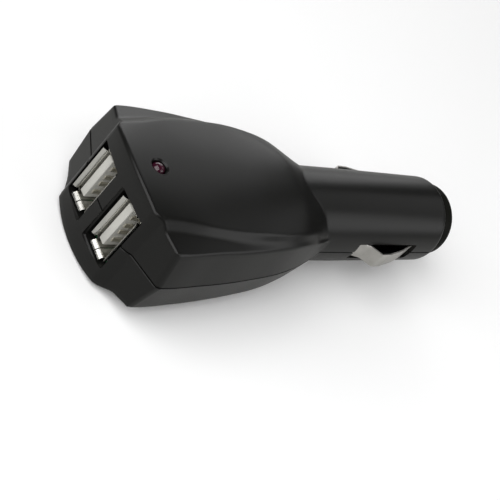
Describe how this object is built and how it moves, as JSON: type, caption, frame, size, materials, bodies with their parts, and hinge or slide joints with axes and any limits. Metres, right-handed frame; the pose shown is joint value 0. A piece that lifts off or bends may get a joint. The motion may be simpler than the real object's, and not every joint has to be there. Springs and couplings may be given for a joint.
{
  "type": "car usb charger plug",
  "caption": "Plug-in charger for a vehicle's round power socket: flared head with upright USB ports and a lamp, barrel with sprung side contacts, sprung nose contact.",
  "frame": {"origin": "on the barrel's axis, in the plane where the barrel's smooth seat behind the head begins", "axes": "+X along the barrel towards the nose contact, +Z towards the side with the lamp, +Y across the head"},
  "size_m": [0.1022, 0.0376, 0.0252],
  "materials": {
    "housing_plastic": "satin moulded",
    "ring_plastic": "semi-gloss moulded",
    "contact_nickel": "nickel plated",
    "fuse_glass": "clear",
    "wire_metal": "tinned",
    "spring_steel": "drawn wire",
    "side_contact_steel": "nickel plated spring steel",
    "board_green": "solder mask",
    "shell_steel": "nickel plated sheet",
    "insulator_white": "moulded",
    "contact_gold": "gold flashed",
    "lens_red": "clear cast",
    "capacitor_sleeve": "shrink sleeve",
    "ferrite": "sintered",
    "winding_copper": "enamelled copper",
    "chip_black": "moulded epoxy",
    "ceramic_tan": "fired",
    "wire_red": "insulated",
    "wire_black": "insulated"
  },
  "bodies": {
    "plug": {"top_housing": "housing_plastic", "bottom_housing": "housing_plastic", "nose_ring": "ring_plastic", "contact_spring": "spring_steel", "spring_cup": "contact_nickel", "circuit_board": "board_green", "near_usb_shell": "shell_steel", "far_usb_shell": "shell_steel", "near_usb_insulator": "insulator_white", "far_usb_insulator": "insulator_white", "near_usb_contact_1": "contact_gold", "near_usb_contact_2": "contact_gold", "near_usb_contact_3": "contact_gold", "near_usb_contact_4": "contact_gold", "far_usb_contact_1": "contact_gold", "far_usb_contact_2": "contact_gold", "far_usb_contact_3": "contact_gold", "far_usb_contact_4": "contact_gold", "led_lens": "lens_red", "led_leads": "wire_metal", "input_capacitor": "capacitor_sleeve", "output_capacitor": "capacitor_sleeve", "inductor_core": "ferrite", "inductor_winding": "winding_copper", "regulator_chip": "chip_black", "regulator_legs": "wire_metal", "rectifier_diode": "chip_black", "chip_resistors": "chip_black", "chip_capacitors": "ceramic_tan", "centre_wire": "wire_red", "near_wire": "wire_black", "far_wire": "wire_black"},
    "nose": {"centre_contact": "contact_nickel", "fuse_tube": "fuse_glass", "fuse_front_cap": "contact_nickel", "fuse_rear_cap": "contact_nickel", "fuse_wire": "wire_metal"},
    "near_contact": {"near_side_contact": "side_contact_steel"},
    "far_contact": {"far_side_contact": "side_contact_steel"}
  },
  "joints": [
    {"name": "nose_push", "type": "slide", "parent": "plug", "child": "nose", "axis": [1, 0, 0], "range_m": [-0.003, 0], "stiffness_N_per_m": 900, "springref_m": 0.002, "deforming": ["contact_spring"]},
    {"name": "near_contact_swing", "type": "hinge", "parent": "plug", "child": "near_contact", "pos_m": [-0.001, -0.0078, 0], "axis": [0, 0, 1], "range_deg": [0, 8], "stiffness_Nm_per_rad": 0.6, "springref_deg": -2.86},
    {"name": "far_contact_swing", "type": "hinge", "parent": "plug", "child": "far_contact", "pos_m": [-0.001, 0.0078, 0], "axis": [0, 0, 1], "range_deg": [-8, 0], "stiffness_Nm_per_rad": 0.6, "springref_deg": 2.86}
  ]
}
